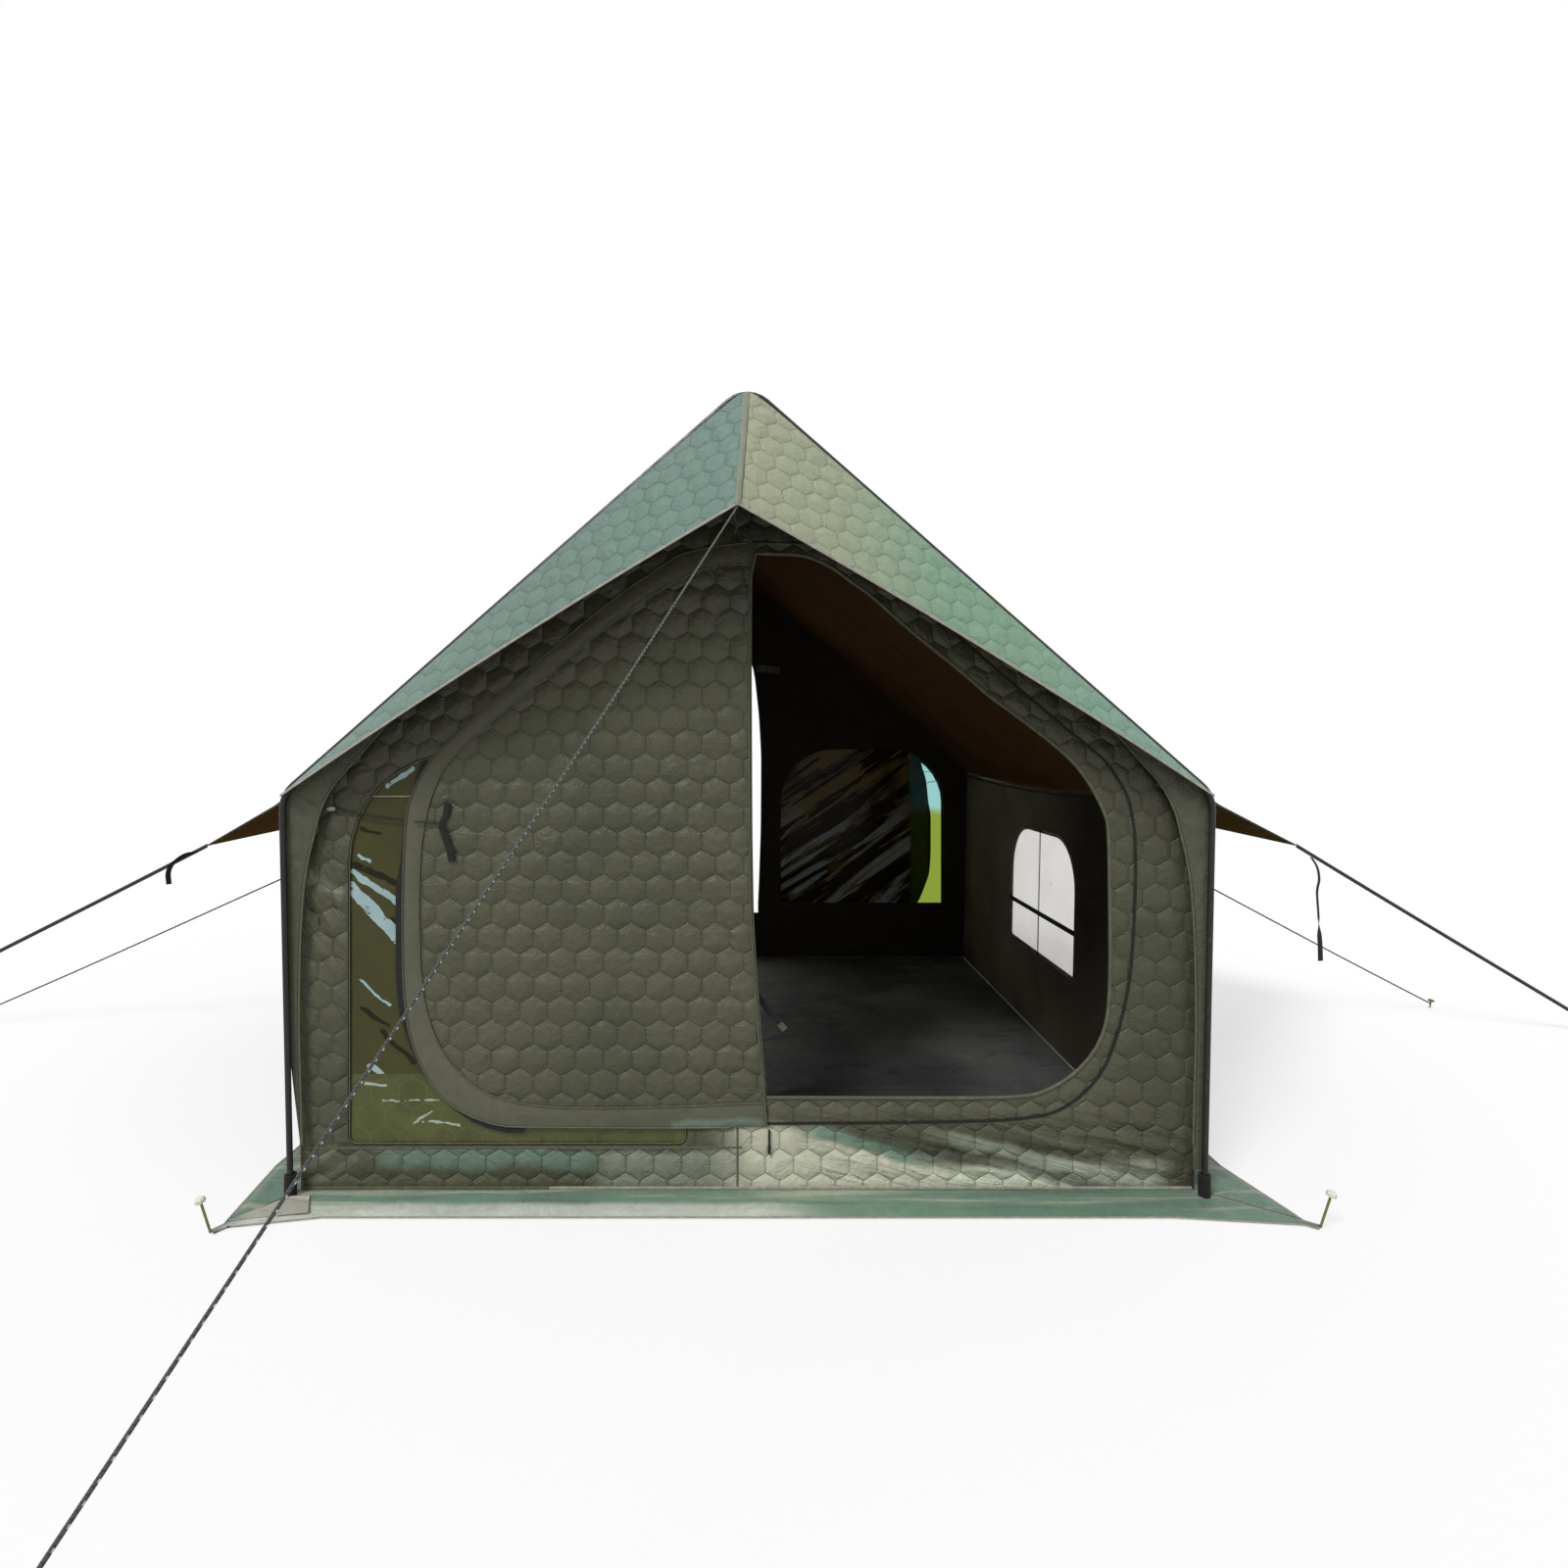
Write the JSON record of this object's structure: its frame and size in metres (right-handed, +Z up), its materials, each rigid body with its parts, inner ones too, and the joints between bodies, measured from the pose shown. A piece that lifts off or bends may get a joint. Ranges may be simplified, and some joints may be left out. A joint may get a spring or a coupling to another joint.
{
  "type": "cabin tent",
  "caption": "Quilted gable tent on outside arch poles, with end visors, side awnings, swinging door flaps, film windows, a ground skirt, guy lines and pegs.",
  "frame": {"origin": "on the ground under the middle of the tent", "axes": "+Z up, -Y out of the front doorway, +X to the right seen from the front; half a turn about Z gives the rear"},
  "size_m": [7.6285, 5.0998, 2.2033],
  "materials": {
    "pole": "satin black",
    "boot": "matt black",
    "fly": "coated green cloth, quilted",
    "quilt": "coated olive cloth, quilted",
    "plain": "coated olive cloth",
    "awning": "brown cloth",
    "film": "clear soft film, tinted",
    "pane": "milky soft film",
    "webbing": "woven black",
    "rope": "braided, with light flecks",
    "floor": "coated charcoal cloth",
    "skirt": "coated green cloth",
    "peg": "plated, pale head"
  },
  "bodies": {
    "tent": {"front_apex_elbow": "pole", "rear_apex_elbow": "pole", "front_left_rafter": "pole", "front_right_rafter": "pole", "rear_left_rafter": "pole", "rear_right_rafter": "pole", "front_left_leg": "pole", "front_right_leg": "pole", "rear_left_leg": "pole", "rear_right_leg": "pole", "front_left_boot": "boot", "front_right_boot": "boot", "rear_left_boot": "boot", "rear_right_boot": "boot", "roof_fly": "fly", "front_visor": "fly", "rear_visor": "fly", "left_awning": "awning", "right_awning": "awning", "front_left_gusset": "plain", "front_right_gusset": "plain", "rear_left_gusset": "plain", "rear_right_gusset": "plain", "front_wall": "quilt", "rear_wall": "quilt", "left_wall": "quilt", "right_wall": "quilt", "front_window_film": "film", "rear_window_film": "film", "left_window_film": "pane", "right_window_film": "pane", "left_window_bars": "webbing", "right_window_bars": "webbing", "front_wall_tie": "webbing", "rear_wall_tie": "webbing", "groundsheet": "floor", "front_skirt": "skirt", "rear_skirt": "skirt", "left_skirt": "skirt", "right_skirt": "skirt", "front_left_peg": "peg", "front_right_peg": "peg", "rear_left_peg": "peg", "rear_right_peg": "peg", "front_guy_rope": "rope", "front_guy_rope_peg": "peg", "left_strap": "webbing", "left_strap_peg": "peg", "right_strap": "webbing", "right_strap_peg": "peg", "left_side_rope": "rope", "left_side_rope_peg": "peg", "right_side_rope": "rope", "right_side_rope_peg": "peg"},
    "front_door": {"front_door_flap": "quilt", "front_flap_tie": "webbing"},
    "rear_door": {"rear_door_flap": "quilt", "rear_flap_tie": "webbing"},
    "front_pull": {"front_zip_pull": "webbing"},
    "rear_pull": {"rear_zip_pull": "webbing"}
  },
  "joints": [
    {"name": "front_door_hinge", "type": "hinge", "parent": "tent", "child": "front_door", "pos_m": [0.035, -1.2245, 0], "axis": [0, 0, 1], "range_deg": [0, 180]},
    {"name": "rear_door_hinge", "type": "hinge", "parent": "tent", "child": "rear_door", "pos_m": [0.035, 1.2245, 0], "axis": [0, 0, 1], "range_deg": [0, 180]},
    {"name": "front_pull_swing", "type": "hinge", "parent": "tent", "child": "front_pull", "pos_m": [0.06, -1.2247, 0.172], "axis": [0, 1, 0], "range_deg": [-60, 60]},
    {"name": "rear_pull_swing", "type": "hinge", "parent": "tent", "child": "rear_pull", "pos_m": [0.01, 1.2247, 0.172], "axis": [0, 1, 0], "range_deg": [-60, 60]}
  ]
}
